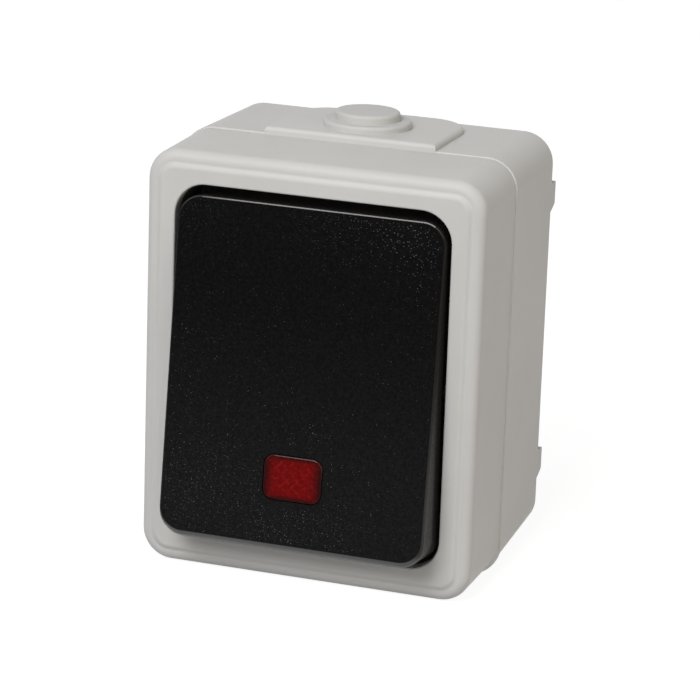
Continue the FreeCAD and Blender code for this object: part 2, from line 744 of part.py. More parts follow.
def insert_plate():
    """Front plate that carries the insert on the box's posts and clips over its body."""
    plate = slab(plate_w, plate_h, INSERT_CORNER, plate_y, insert_y)
    window_w = DOLLY_WING_WIDTH / 2 + WING_ROOM
    window_h = DOLLY_WING_HEIGHT / 2 + WING_ROOM
    end_y = insert_y + TAB_DEPTH
    tab = block(insert_w + FIT, plate_w, insert_y - PLATE / 2, end_y, -TAB_LENGTH / 2, TAB_LENGTH / 2)
    hook = block(insert_w - TAB_HOOK, insert_w + FIT, end_y - TAB, end_y, -TAB_LENGTH / 2, TAB_LENGTH / 2)
    clip = tab.fuse(hook)
    holes = [
        slab(window_w, window_h, INSERT_CORNER, plate_y - PAST, insert_y + PAST),
        lamp_window(plate_y, insert_y),
    ]
    for node in TERMINALS:
        x, z = cage_place(node)
        holes.append(rod_y(TERMINAL_SCREW_HEAD + SIDE_ROOM, x, z, plate_y - PAST, insert_y + PAST))
    for x, z in INSERT_SCREWS:
        holes.append(countersunk(x, z, RUNNING_FIT))
    return joined(plate, clip, mirrored(clip)).cut(holes)


def insert_body():
    """Moulded block with the switch chamber, four terminal cells and the lamp's cradle."""
    body = slab(insert_w, insert_h, INSERT_CORNER, insert_y, insert_back_y)
    open_y = insert_y - PAST
    end_y = insert_back_y + PAST
    chest = CHEST_WIDTH / 2
    bearing = chest + DOLLY_TRUNNION_REACH + REST_GAP
    cell = CAGE / 2 + FIT
    holes = [
        block(-chest, chest, open_y, end_y, -CHEST_HEIGHT / 2, CHEST_HEIGHT / 2),
        rod_x(DOLLY_TRUNNION + 2 * RUNNING_FIT, dolly_y, 0, -bearing, bearing),
    ]
    for node in TERMINALS:
        x, z = cage_place(node)
        holes.append(block(x - cell, x + cell, cage_y - FIT, end_y, z - cell, z + cell))
        holes.append(rod_y(TERMINAL_SCREW_HEAD + SIDE_ROOM, x, z, open_y, cage_y))
        holes.append(wire_bore(x, z, insert_h))
        for x0, x1, z0, z1 in strip_runs(node):
            holes.append(block(x0 - FIT, x1 + FIT, strip_y - FIT, end_y, z0 - FIT, z1 + FIT))
    lead = LEAD / 2 + FIT
    lamp = LAMP / 2 + RUNNING_FIT
    cradle = LAMP_LENGTH / 2 + FIT
    lead_end = lamp_y + LEAD_DROP + FIT
    resistor = RESISTOR / 2 + FIT
    holes += [
        block(-cradle, cradle, open_y, lamp_y, lamp_z - lamp, lamp_z + lamp),
        rod_x(2 * lamp, lamp_y, lamp_z, -cradle, cradle),
        block(-terminal_x - lead, terminal_x + lead, open_y, lamp_y + lead, lamp_z - lead, lamp_z + lead),
        block(
            -resistor_x1 - FIT, -resistor_x0 + FIT, open_y, lamp_y + resistor,
            lamp_z - resistor, lamp_z + resistor,
        ),
    ]
    for side in (-1, 1):
        x = side * terminal_x
        bend0, bend1 = sorted((x - side * (LEAD_BEND + lead), x + side * lead))
        holes.append(block(x - lead, x + lead, open_y, lead_end, lamp_z - lead, lamp_z + lead))
        holes.append(block(bend0, bend1, open_y, lamp_y + LEAD_BEND, lamp_z - lead, lamp_z + lead))
    notch_y = insert_y + TAB_DEPTH
    notch = block(
        insert_w - TAB_HOOK - FIT, insert_w + PAST, notch_y - TAB - FIT, notch_y + FIT,
        -TAB_LENGTH / 2 - FIT, TAB_LENGTH / 2 + FIT,
    )
    return body.cut(holes + [notch, mirrored(notch)])


def insert_back():
    """Rear plate with pads that press the terminal strips home."""
    plate = slab(insert_w, insert_h, INSERT_CORNER, insert_back_y, insert_back_y + INSERT_BACK)
    pads = []
    for node in TERMINALS:
        for x0, x1, z0, z1 in strip_runs(node):
            pads.append(block(x0 + FIT, x1 - FIT, strip_y + STRIP, insert_back_y, z0 + FIT, z1 - FIT))
    return joined(plate, *pads)


# Inner rocker with its sprung plunger, and the contact lever


def dolly():
    wing = slab(DOLLY_WING_WIDTH / 2, DOLLY_WING_HEIGHT / 2, INSERT_CORNER, wing_y, wing_y + DOLLY_WING)
    neck = block(-hub_w, hub_w, wing_y + DOLLY_WING / 2, dolly_y, -DOLLY_NECK / 2, DOLLY_NECK / 2)
    hub = rod_x(DOLLY_HUB, dolly_y, 0, -hub_w, hub_w)
    nose_y = dolly_y + DOLLY_NOSE_LENGTH
    nose = rod_y(DOLLY_NOSE, 0, 0, dolly_y, nose_y)
    reach = CHEST_WIDTH / 2 + DOLLY_TRUNNION_REACH
    trunnions = rod_x(DOLLY_TRUNNION, dolly_y, 0, -reach, reach)
    bore = rod_y(PLUNGER + 2 * RUNNING_FIT, 0, 0, plunger_y - SPRING_LENGTH, nose_y + PAST)
    return turned(joined(wing, neck, hub, nose, trunnions).cut(bore), dolly_y, -ROCKER_TILT)


def plunger():
    stem = rod_y(PLUNGER, 0, 0, plunger_y, ball_y)
    ball = Part.makeSphere(PLUNGER / 2, V(0, ball_y, 0))
    return turned(joined(stem, ball), dolly_y, -ROCKER_TILT)


def toggle_spring():
    mean = PLUNGER / 2 - SPRING_WIRE
    height = SPRING_LENGTH - SPRING_WIRE - 2 * RUNNING_FIT
    coil = Part.makeHelix(height / SPRING_TURNS, height, mean)
    slope = V(0, 2 * math.pi * mean, height / SPRING_TURNS)
    section = Part.Wire(Part.makeCircle(SPRING_WIRE / 2, V(mean, 0, 0), slope))
    spring = Part.Wire(coil.Edges).makePipeShell([section], True, True)
    spring.rotate(V(0, 0, 0), X_AXIS, -90)
    spring.translate(V(0, plunger_y - SPRING_LENGTH + SPRING_WIRE / 2 + RUNNING_FIT, 0))
    return turned(spring, dolly_y, -ROCKER_TILT)


def contact_lever():
    """Spring-brass strip that rocks on the common terminal's rounded edge."""
    half = LEVER_WIDTH / 2
    front = lever_y - LEVER_SEAT - LEVER_STRIP
    end = LEVER_ARM + LEVER_END
    strip = slab(half, end, LEVER_END, front, lever_y - LEVER_SEAT)
    saddle = block(-half, half, front, lever_y, -LEVER_HUB / 2, LEVER_HUB / 2)
    seat = rod_x(KNIFE + 2 * RUNNING_FIT, lever_y, 0, -LEVER_WIDTH, LEVER_WIDTH)
    return turned(joined(strip, saddle).cut(seat), lever_y, LEVER_TILT)


def rivet(z, root, tip):
    """Contact rivet at height z, from its root to its rounded tip."""
    y0, y1 = sorted((root, tip))
    head = rod_y(CONTACT, 0, z, y0, y1)
    return head.makeFillet(CONTACT_ROUND, edges_at(head, tip))


def contact_pair(root, tip):
    return [rivet(z, root, tip) for z in (-LEVER_ARM, LEVER_ARM)]


# Screws, seals and pilot lamp


def slotted(head, x, z, y, width):
    """Screw with a driver slot cut in the front of its head."""
    half = SCREW_SLOT / 2
    return head.cut(block(x - width, x + width, y - PAST, y + SCREW_SLOT_DEPTH, z - half, z + half))


def cover_screw(x):
    head_y = tray_y - SCREW_SEAL - COVER_SCREW_HEAD_HEIGHT
    shank_y = tray_y - SCREW_SEAL
    head = rod_y(COVER_SCREW_HEAD, x, 0, head_y, shank_y)
    head = head.makeFillet(SCREW_SLOT, edges_at(head, head_y))
    shank = rod_y(COVER_SCREW, x, 0, shank_y, shank_y + COVER_SCREW_LENGTH)
    return slotted(joined(head, shank), x, 0, head_y, COVER_SCREW_HEAD)


def screw_seal(x):
    ring = rod_y(COVER_SCREW_HEAD, x, 0, tray_y - SCREW_SEAL, tray_y)
    return ring.cut(rod_y(COVER_SCREW + 2 * FIT, x, 0, tray_y - PAST, tray_y + PAST))


def countersunk(x, z, grow):
    """Countersunk insert screw, or with grow the room that it needs in the plate."""
    head = INSERT_SCREW_HEAD / 2 + grow
    shank = INSERT_SCREW / 2 + grow
    cone = Part.makeCone(head, shank, head - shank, V(x, plate_y, z), Y_AXIS)
    return joined(cone, rod_y(2 * shank, x, z, plate_y, plate_y + INSERT_SCREW_LENGTH))


def insert_screw(x, z):
    return slotted(countersunk(x, z, 0), x, z, plate_y, INSERT_SCREW_HEAD)


def terminal_screw(node):
    x, z = cage_place(node)
    shank_y = cage_y - TERMINAL_SCREW_OPEN
    head_y = shank_y - TERMINAL_SCREW_HEAD_HEIGHT
    head = rod_y(TERMINAL_SCREW_HEAD, x, z, head_y, shank_y)
    shank = rod_y(TERMINAL_SCREW, x, z, shank_y, shank_y + TERMINAL_SCREW_LENGTH)
    return slotted(joined(head, shank), x, z, head_y, TERMINAL_SCREW_HEAD)


def pilot_lamp():
    """Small glow lamp, a glass tube with round ends, that lies in its cradle."""
    end = LAMP_LENGTH / 2
    tube = rod_x(LAMP, lamp_y, lamp_z, -end, end)
    ends = [e for e in tube.Edges if e.BoundBox.XMax - e.BoundBox.XMin < FIT]
    return tube.makeFillet(LAMP / 2 - LEAD, ends)


def lead(side, start):
    """Wire from x = start out to the terminal's line, bent down beside its cage."""
    x = side * terminal_x
    bend = side * LEAD_BEND
    bow = LEAD_BEND * (1 - math.sqrt(0.5))
    first = V(side * start, lamp_y, lamp_z)
    before = V(x - bend, lamp_y, lamp_z)
    middle = V(x - side * bow, lamp_y + bow, lamp_z)
    after = V(x, lamp_y + LEAD_BEND, lamp_z)
    last = V(x, lamp_y + LEAD_DROP, lamp_z)
    path = Part.Wire([
        Part.LineSegment(first, before).toShape(),
        Part.Arc(before, middle, after).toShape(),
        Part.LineSegment(after, last).toShape(),
    ])
    section = Part.Wire(Part.makeCircle(LEAD / 2, first, V(side, 0, 0)))
    return path.makePipeShell([section], True, True)


def lead_stub():
    """Short wire between the lamp and its resistor."""
    return rod_x(LEAD, lamp_y, lamp_z, -resistor_x0, -LAMP_LENGTH / 2)


os.makedirs("parts", exist_ok=True)
saved("base_box", base_box())
saved("front_cover", front_cover())
saved("rocker_tray", rocker_tray())
saved("cover_gasket", lip_ring(seam_y - LIP_HEIGHT - GASKET, seam_y - LIP_HEIGHT))
saved("cable_plug", cable_plug())
saved("cover_screws", cover_screw(-post_x), cover_screw(post_x))
saved("cover_screw_seals", screw_seal(-post_x), screw_seal(post_x))
saved("rocker", rocker())
saved("rocker_lens", rocker_lens())
saved("rocker_membrane", rocker_membrane())
saved("insert_plate", insert_plate())
saved("insert_body", insert_body())
saved("insert_back", insert_back())
saved("insert_screws", *[insert_screw(x, z) for x, z in INSERT_SCREWS])
for terminal_node in TERMINALS:
    saved(terminal_node, terminal(terminal_node))
saved("terminal_screws", *[terminal_screw(node) for node in TERMINALS])
saved("fixed_contacts", *contact_pair(strip_y, fixed_contact_y))
saved("dolly", dolly())
saved("plunger", plunger())
saved("toggle_spring", toggle_spring())
saved("contact_lever", contact_lever())
saved("moving_contacts", *[
    turned(tip, lever_y, LEVER_TILT) for tip in contact_pair(lever_back_y, lever_back_y + CONTACT_HEIGHT)
])
saved("pilot_lamp", pilot_lamp())
saved("lamp_leads", lead(1, LAMP_LENGTH / 2), lead(-1, resistor_x1), lead_stub())
saved("lamp_resistor", rod_x(RESISTOR, lamp_y, lamp_z, -resistor_x1, -resistor_x0))
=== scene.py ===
import json
import math

import bmesh
import bpy
from mathutils import Matrix, Vector


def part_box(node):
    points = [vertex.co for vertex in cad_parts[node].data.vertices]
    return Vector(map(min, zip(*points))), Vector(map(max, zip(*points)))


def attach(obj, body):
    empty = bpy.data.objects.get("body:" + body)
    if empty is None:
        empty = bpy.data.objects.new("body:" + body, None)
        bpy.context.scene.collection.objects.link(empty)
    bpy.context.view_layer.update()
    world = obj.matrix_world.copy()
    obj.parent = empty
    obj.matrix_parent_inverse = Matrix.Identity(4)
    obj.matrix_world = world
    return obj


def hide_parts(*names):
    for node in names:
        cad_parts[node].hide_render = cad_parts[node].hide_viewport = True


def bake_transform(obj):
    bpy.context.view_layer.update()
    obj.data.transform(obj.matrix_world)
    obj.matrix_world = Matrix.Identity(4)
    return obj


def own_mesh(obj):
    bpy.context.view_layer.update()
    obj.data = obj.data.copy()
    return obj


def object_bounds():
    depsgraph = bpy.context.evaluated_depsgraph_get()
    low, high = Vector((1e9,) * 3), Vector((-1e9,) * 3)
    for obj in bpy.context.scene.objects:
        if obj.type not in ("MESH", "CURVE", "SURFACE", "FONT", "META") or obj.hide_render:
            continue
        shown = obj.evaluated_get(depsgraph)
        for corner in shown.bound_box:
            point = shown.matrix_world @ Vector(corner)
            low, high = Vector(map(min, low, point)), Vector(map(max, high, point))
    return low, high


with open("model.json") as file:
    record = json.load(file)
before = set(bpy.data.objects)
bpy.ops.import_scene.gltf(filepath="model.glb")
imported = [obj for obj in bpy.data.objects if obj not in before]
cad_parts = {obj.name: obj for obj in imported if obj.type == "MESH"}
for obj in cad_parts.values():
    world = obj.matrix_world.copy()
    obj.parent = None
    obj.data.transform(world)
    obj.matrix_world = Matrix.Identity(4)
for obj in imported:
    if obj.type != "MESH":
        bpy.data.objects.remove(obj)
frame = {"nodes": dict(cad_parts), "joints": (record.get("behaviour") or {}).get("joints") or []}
cad_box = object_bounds()
scene = bpy.context.scene

# Rear box: the drafted grey moulding that is screwed to the wall. It is injection-moulded
# in a tough weatherproof plastic with a satin skin that is a little uneven in tone.
MM = 0.001
NOISE_SPAN = (0.3, 0.7)  # noise values taken as the two ends of a change in tone or roughness
SKIN_SHINE = 0.12  # how far the skin's grain changes its roughness
SKIN_DEPTH = 0.05 * MM


def node_tree(name, inputs, outputs):
    """Empty shader node group with float or colour sockets, and its two end nodes."""
    tree = bpy.data.node_groups.new(name, "ShaderNodeTree")
    for label, kind, value in inputs:
        socket = tree.interface.new_socket(label, in_out="INPUT", socket_type=f"NodeSocket{kind}")
        socket.default_value = value
    for label, kind in outputs:
        tree.interface.new_socket(label, in_out="OUTPUT", socket_type=f"NodeSocket{kind}")
    return tree, tree.nodes.new("NodeGroupInput"), tree.nodes.new("NodeGroupOutput")


def feed(tree, socket, value):
    """Put a link or a plain value on an input socket."""
    if isinstance(value, bpy.types.NodeSocket):
        tree.links.new(value, socket)
    else:
        socket.default_value = value


def put_node(tree, kind, values, settings):
    """New node of any kind, with its plain settings and what goes on its input sockets."""
    node = tree.nodes.new(kind)
    for key, value in settings.items():
        setattr(node, key, value)
    for key, value in values.items():
        feed(tree, node.inputs[key], value)
    return node


def add(tree, kind, values=None, **settings):
    """New shader node."""
    return put_node(tree, "ShaderNode" + kind, values or {}, settings)


def math_node(tree, operation, *values):
    return add(tree, "Math", dict(enumerate(values)), operation=operation).outputs[0]


def remap(tree, value, low, high, to_low=0.0, to_high=1.0):
    """Value from low to high moved smoothly to the range to_low to to_high."""
    limits = {
        "Value": value, "From Min": low, "From Max": high, "To Min": to_low, "To Max": to_high,
    }
    return add(tree, "MapRange", limits, interpolation_type="SMOOTHSTEP").outputs["Result"]


def mixed(tree, factor, first, second):
    """Colour between two colours."""
    node = add(tree, "Mix", data_type="RGBA")
    for socket, value in (("Factor_Float", factor), ("A_Color", first), ("B_Color", second)):
        feed(tree, next(s for s in node.inputs if s.identifier == socket), value)
    return next(s for s in node.outputs if s.identifier == "Result_Color")


def noise(tree, place, scale, detail):
    """Noise over a place."""
    values = {"Vector": place, "Scale": scale, "Detail": detail}
    return add(tree, "TexNoise", values).outputs["Fac"]


def own_place(tree):
    """Place on the piece, in metres."""
    return add(tree, "TexCoord").outputs["Object"]


def finish_named(name, constants):
    """Material with one Principled shader whose plain values are set on its own sockets."""
    material = bpy.data.materials.new(name)
    material.use_nodes = True
    tree = material.node_tree
    shader = tree.nodes["Principled BSDF"]
    for key, value in constants.items():
        shader.inputs[key].default_value = value
    return material, tree, shader


def emboss(tree, shader, height, strength, depth):
    """Fine relief on a finish, its depth in metres."""
    bump = add(tree, "Bump", {"Height": height, "Strength": strength, "Distance": depth})
    tree.links.new(bump.outputs["Normal"], shader.inputs["Normal"])


def dress(material, *nodes):
    """Put a finish on carried-over pieces."""
    for node in nodes:
        mesh = frame["nodes"][node].data
        mesh.materials.clear()
        mesh.materials.append(material)


def moulded_skin_group():
    """Tone, roughness and fine relief of a moulded plastic skin, by place on the piece."""
    tree, given, out = node_tree(
        "moulded_skin",
        [("Grain", "Float", 2600.0), ("Cloud", "Float", 45.0), ("Roughness", "Float", 0.4)],
        [("Tone", "Float"), ("Roughness", "Float"), ("Relief", "Float")],
    )
    place = own_place(tree)
    cloud = noise(tree, place, given.outputs["Cloud"], 3.0)
    grain = noise(tree, place, given.outputs["Grain"], 2.0)
    shine = math_node(tree, "MULTIPLY_ADD", grain, SKIN_SHINE, given.outputs["Roughness"])
    tree.links.new(remap(tree, cloud, *NOISE_SPAN), out.inputs["Tone"])
    tree.links.new(shine, out.inputs["Roughness"])
    tree.links.new(grain, out.inputs["Relief"])
    return tree


moulded_skin = moulded_skin_group()


def moulded_plastic(name, light, dark, grain, roughness, relief, specular=0.5):
    """Moulded plastic: two close tones in soft clouds under a fine satin grain."""
    material, tree, shader = finish_named(name, {"Specular IOR Level": specular})
    skin = tree.nodes.new("ShaderNodeGroup")
    skin.node_tree = moulded_skin
    skin.inputs["Grain"].default_value = grain
    skin.inputs["Roughness"].default_value = roughness
    tree.links.new(mixed(tree, skin.outputs["Tone"], dark, light), shader.inputs["Base Color"])
    tree.links.new(skin.outputs["Roughness"], shader.inputs["Roughness"])
    emboss(tree, shader, skin.outputs["Relief"], relief, SKIN_DEPTH)
    return material


housing_grey = moulded_plastic(
    "housing_grey", light=(0.608, 0.601, 0.586, 1), dark=(0.582, 0.575, 0.559, 1),
    grain=2600.0, roughness=0.44, relief=0.15, specular=0.3,
)
dress(housing_grey, "base_box")

# Cable plug: a stepped soft rubber plug pushed into the top entry, to be pierced by the cable.
# It is moulded in the housing's grey, and is a little duller than the plastic beside it.
plug_rubber = moulded_plastic(
    "plug_rubber", light=(0.590, 0.586, 0.573, 1), dark=(0.562, 0.557, 0.543, 1),
    grain=1900.0, roughness=0.52, relief=0.3, specular=0.25,
)
dress(plug_rubber, "cable_plug")

# Front cover: the grey moulding with the rocker's opening, drawn down on the seal by two screws
# under the rocker. It comes from the same plastic as the box.
dress(housing_grey, "front_cover")

# Rocker tray: the smooth dark moulding around the rocker's back, welded into a rim behind the
# cover's front. It closes the rocker's bearings and carries the heads of the cover screws.
tray_black = moulded_plastic(
    "tray_black", light=(0.135, 0.126, 0.115, 1), dark=(0.108, 0.101, 0.092, 1),
    grain=2200.0, roughness=0.45, relief=0.2, specular=0.2,
)
dress(tray_black, "rocker_tray")

# Seals: the cord of rubber in the cover's rebate and the rings under its screws,
# both black and dusted with talc as new rubber is.
seal_rubber = moulded_plastic(
    "seal_rubber", light=(0.040, 0.040, 0.042, 1), dark=(0.020, 0.020, 0.021, 1),
    grain=1400.0, roughness=0.62, relief=0.5,
)
dress(seal_rubber, "cover_gasket", "cover_screw_seals")

# Rocker: the black tilting plate, moulded in a tool with a spark-eroded face. That face is matt,
# and its black is painted paler towards the lower end as a painted reflection of the floor. The
# sides come glossy from the tool's polished walls, and the lower bevel's black is painted paler as
# a painted reflection of the floor too. All lengths here are in millimetres, from the rocker's axis
# unless they say more.
ROCKER_FACE = 6.45  # forward to the flat face
ROCKER_HALF = 31.4  # half the height of the face
TRUNNION_REACH = 1.3  # of a trunnion, out from the rocker's wall
TRUNNION_FADE = (0.05, 0.15)  # out from the wall, where the gloss ends on a trunnion
SIDES_START = (0.015, 0.06)  # behind the face, where the glossy sides start
PEAKS_START = (-0.008, -0.02)  # the same for the grain's peaks, which stand before the face
PEAKS_GLOSS = 0.8
HANDLED = (8.0, -22.0)  # up the sides, from hardly touched to touched most
HANDLED_GLOSS = (0.02, 0.42)
TOP_EDGE = (3.0, 1.0)  # down from the top, where its glossy edge starts and is full
TOP_GLOSS = 0.8
LOWER_EDGE = 2.4  # up from the lower end, where its bevel starts
FLOOR_REFLECTION_SPAN = (20.0, -26.0)  # up the face, from deep black to black painted paler as a reflection of the floor
DEEP_BLACK = ((0.0014, 0.0014, 0.0015, 1), (0.0044, 0.0044, 0.0046, 1))
# painted reflection: the face's black made paler towards the lower end, standing in for the floor
# it reflects
FACE_REFLECTION_BLACK = ((0.0058, 0.0058, 0.0059, 1), (0.0106, 0.0106, 0.0108, 1))
SIDE_BLACK = (0.015, 0.014, 0.013, 1)
# painted reflection: the lower bevel's black is paler, standing in for the floor it reflects
BEVEL_REFLECTION_BLACK = (0.045, 0.044, 0.043, 1)
MOTTLE_SCALE = 1.9
MOTTLE_SPAN = (0.35, 0.65)
MATT = (0.5, 0.66)  # the face's roughness
POLISH = -0.2  # what polished walls change it by
rocker_axis = next(j for j in frame["joints"] if j["name"] == "rocker_tilt")
rocker_tilt = math.radians(rocker_axis["range_deg"][1] / 2)


def rocker_place(tree):
    """Coordinates of the rocker itself, level and centred on its axis, in millimetres."""
    middle = Vector(rocker_axis["pos_m"])
    centred = add(
        tree, "VectorMath", {0: own_place(tree), 1: tuple(-middle)}, operation="ADD"
    ).outputs[0]
    turned = add(
        tree, "VectorRotate", {"Vector": centred, "Angle": rocker_tilt}, rotation_type="X_AXIS"
    ).outputs[0]
    return add(tree, "VectorMath", {0: turned, "Scale": 1 / MM}, operation="SCALE").outputs[0]


def rocker_finish():
    """Mottled matt black on the face, gloss on the sides, the edges and the grain's peaks; a
    painted reflection pales the face's lower end and the lower bevel.
    """
    material, tree, shader = finish_named(
        "rocker_black", {"Specular IOR Level": 0.035, "Coat Roughness": 0.07}
    )
    place = rocker_place(tree)
    spot = add(tree, "SeparateXYZ", {"Vector": place}).outputs
    depth = math_node(tree, "ADD", spot["Y"], ROCKER_FACE)
    sides = remap(tree, depth, *SIDES_START)
    peaks = remap(tree, depth, *PEAKS_START)
    polished = math_node(tree, "MAXIMUM", sides, peaks)

    top_start, top_full = (ROCKER_HALF - down for down in TOP_EDGE)
    handled = remap(tree, spot["Z"], *HANDLED, *HANDLED_GLOSS)
    top_edge = remap(tree, spot["Z"], top_start, top_full, 0.0, TOP_GLOSS)
    lower_edge = remap(tree, spot["Z"], LOWER_EDGE - ROCKER_HALF, -ROCKER_HALF)
    touched = math_node(tree, "MAXIMUM", handled, top_edge)
    gloss = math_node(tree, "MAXIMUM", touched, lower_edge)

    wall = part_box("rocker")[1].x / MM - TRUNNION_REACH
    fade_start, fade_end = (wall + out for out in TRUNNION_FADE)
    beside = math_node(tree, "ABSOLUTE", spot["X"])
    on_wall = remap(tree, beside, fade_start, fade_end, 1.0, 0.0)
    side_coat = math_node(tree, "MULTIPLY", sides, math_node(tree, "MULTIPLY", gloss, on_wall))
    peak_coat = math_node(tree, "MULTIPLY", peaks, PEAKS_GLOSS)
    coat = math_node(tree, "MAXIMUM", side_coat, peak_coat)
    tree.links.new(coat, shader.inputs["Coat Weight"])

    mottle = noise(tree, place, MOTTLE_SCALE, 4.0)
    tone = remap(tree, mottle, *MOTTLE_SPAN)
    deep = mixed(tree, tone, *DEEP_BLACK)
    floor_reflection = mixed(tree, tone, *FACE_REFLECTION_BLACK)
    # painted reflection: the face's black turns paler towards the lower end
    face = mixed(tree, remap(tree, spot["Z"], *FLOOR_REFLECTION_SPAN), deep, floor_reflection)
    # painted reflection: the lower bevel is painted a paler black than the sides
    smooth = mixed(tree, lower_edge, SIDE_BLACK, BEVEL_REFLECTION_BLACK)
    tree.links.new(mixed(tree, polished, face, smooth), shader.inputs["Base Color"])
    matt = remap(tree, mottle, *NOISE_SPAN, *MATT)
    rough = math_node(tree, "MULTIPLY_ADD", polished, POLISH, matt)
    tree.links.new(rough, shader.inputs["Roughness"])
    relief = math_node(tree, "MULTIPLY", math_node(tree, "SUBTRACT", 1.0, polished), mottle)
    emboss(tree, shader, relief, strength=0.3, depth=0.1 * MM)
    return material


rocker_black = rocker_finish()
dress(rocker_black, "rocker")

# Rocker grain: the peaks that the eroded tool leaves standing on the rocker's face, moulded with
# it. They are low, four-sided and about a quarter of a millimetre wide, and a few catch the light.
GRAIN_WIDTH = 0.30
GRAIN_HEIGHT = 0.06
GRAIN_SINK = 0.01
GRAIN_COUNT = 0.65  # on a square millimetre of a quiet patch
GRAIN_SIZES = (0.3, 0.88)  # smallest and largest grain of a quiet patch
GRAIN_DRAWN = (1.3, 0.85, 1.0)  # longer across the rocker than up it
GRAIN_SPIN = 0.6  # turned either way by up to this angle
GRAIN_SEED = 4
SIZE_SEED = 9
GRAIN_HALF = (25.35, 31.2)  # half the field's width and height
GRAIN_CORNER = 4.0  # radius of the field's corners
GRAIN_CELL = 0.7  # side of the field's square cells
CELL_INSIDE = 0.3  # share of a cell that a cell's middle stays inside the rounded corner
GRAIN_PATCHES = (  # across and up, reach, how many times more grain is there, how much larger it is
    (20.5, 28.5, 6.5, 2.7, 0.6), (11.0, 29.5, 6.0, 2.2, 0.4), (24.0, 19.0, 5.0, 1.0, 0.2),
    (2.0, 31.0, 7.0, 3.0, 0.1), (-23.0, 29.0, 6.0, 5.0, 0.1), (-23.0, 2.0, 7.0, 2.4, 0.1),
    (-18.0, -20.0, 9.5, 5.5, 0.15), (-22.0, -28.0, 6.0, 3.0, 0.05), (-4.0, -29.0, 9.0, 6.0, 0.15),
    (9.0, -27.0, 6.0, 5.0, 0.1), (3.0, -11.5, 5.5, 3.6, 0.0),
)
LENS_MIDDLE = (0.0, -18.85)  # across and up from the rocker's axis, in millimetres
LENS_HALF = (5.75, 4.3)


def carries_grain(x, z):
    """Whether a cell is on the face, inside its rounded corners and clear of the lens."""
    past_x = max(abs(x) - GRAIN_HALF[0] + GRAIN_CORNER, 0)
    past_z = max(abs(z) - GRAIN_HALF[1] + GRAIN_CORNER, 0)
    off_x = abs(x - LENS_MIDDLE[0]) - LENS_HALF[0]
    off_z = abs(z - LENS_MIDDLE[1]) - LENS_HALF[1]
    outside = math.hypot(past_x, past_z) > GRAIN_CORNER - CELL_INSIDE * GRAIN_CELL
    return max(off_x, off_z) >= GRAIN_CELL and not outside


def grain_field():
    """Flat cells over the face, each with the share and the size of the grain that it carries."""
    points, faces, shares, sizes = [], [], [], []
    across = round(2 * GRAIN_HALF[0] / GRAIN_CELL)
    upward = round(2 * GRAIN_HALF[1] / GRAIN_CELL)
    for column in range(across):
        for row in range(upward):
            x = (column + 0.5 - across / 2) * GRAIN_CELL
            z = (row + 0.5 - upward / 2) * GRAIN_CELL
            if not carries_grain(x, z):
                continue
            first = len(points)
            for dx, dz in ((-1, -1), (1, -1), (1, 1), (-1, 1)):
                corner = (x + dx * GRAIN_CELL / 2, z + dz * GRAIN_CELL / 2)
                points.append((corner[0] * MM, corner[1] * MM, 0.0))
            faces.append(tuple(range(first, first + 4)))
            share = size = 1.0
            for middle_x, middle_z, reach, more, larger in GRAIN_PATCHES:
                near = math.exp(-((x - middle_x) ** 2 + (z - middle_z) ** 2) / reach ** 2)
                share += more * near
                size += larger * near
            shares.append(share)
            sizes.append(size)
    mesh = bpy.data.meshes.new("grain_field")
    mesh.from_pydata(points, [], faces)
    mesh.attributes.new("share", "FLOAT", "FACE").data.foreach_set("value", shares)
    mesh.attributes.new("size", "FLOAT", "FACE").data.foreach_set("value", sizes)
    return mesh


def grain_tree():
    """Scatter of low four-sided peaks over a flat field, turned and sized at random."""
    tree = bpy.data.node_groups.new("spark_grain", "GeometryNodeTree")
    inputs = (
        ("Field", "Geometry"), ("Width", "Float"), ("Height", "Float"), ("Count", "Float"),
        ("Seed", "Int"), ("Finish", "Material"),
    )
    for label, kind in inputs:
        tree.interface.new_socket(label, in_out="INPUT", socket_type=f"NodeSocket{kind}")
    tree.interface.new_socket("Grain", in_out="OUTPUT", socket_type="NodeSocketGeometry")
    given = tree.nodes.new("NodeGroupInput").outputs
    out = tree.nodes.new("NodeGroupOutput")

    def make(kind, values, **settings):
        return put_node(tree, kind, values, settings).outputs

    def random_between(low, high, seed):
        values = {2: low, 3: high, "Seed": seed}
        return make("FunctionNodeRandomValue", values, data_type="FLOAT")[1]

    share = make("GeometryNodeInputNamedAttribute", {"Name": "share"})["Attribute"]
    count = make("ShaderNodeMath", {0: share, 1: given["Count"]}, operation="MULTIPLY")[0]
    points = make(
        "GeometryNodeDistributePointsOnFaces",
        {"Mesh": given["Field"], "Density": count, "Seed": given["Seed"]},
    )["Points"]
    radius = make("ShaderNodeMath", {0: given["Width"], 1: 0.5}, operation="MULTIPLY")[0]
    peak = make(
        "GeometryNodeMeshCone",
        {"Vertices": 4, "Radius Top": 0.0, "Radius Bottom": radius, "Depth": given["Height"]},
    )["Mesh"]
    spin = random_between(-GRAIN_SPIN, GRAIN_SPIN, given["Seed"])
    upright = make("ShaderNodeCombineXYZ", {"Z": spin})[0]
    usual = make("GeometryNodeInputNamedAttribute", {"Name": "size"})["Attribute"]
    uneven = random_between(*GRAIN_SIZES, SIZE_SEED)
    size = make("ShaderNodeMath", {0: usual, 1: uneven}, operation="MULTIPLY")[0]
    drawn = make("ShaderNodeVectorMath", {0: GRAIN_DRAWN, "Scale": size}, operation="SCALE")[0]
    grains = make(
        "GeometryNodeInstanceOnPoints",
        {"Points": points, "Instance": peak, "Rotation": upright, "Scale": drawn},
    )["Instances"]
    solid = make("GeometryNodeRealizeInstances", {"Geometry": grains})["Geometry"]
    finished = make(
        "GeometryNodeSetMaterial", {"Geometry": solid, "Material": given["Finish"]}
    )["Geometry"]
    tree.links.new(finished, out.inputs["Grain"])
    return tree


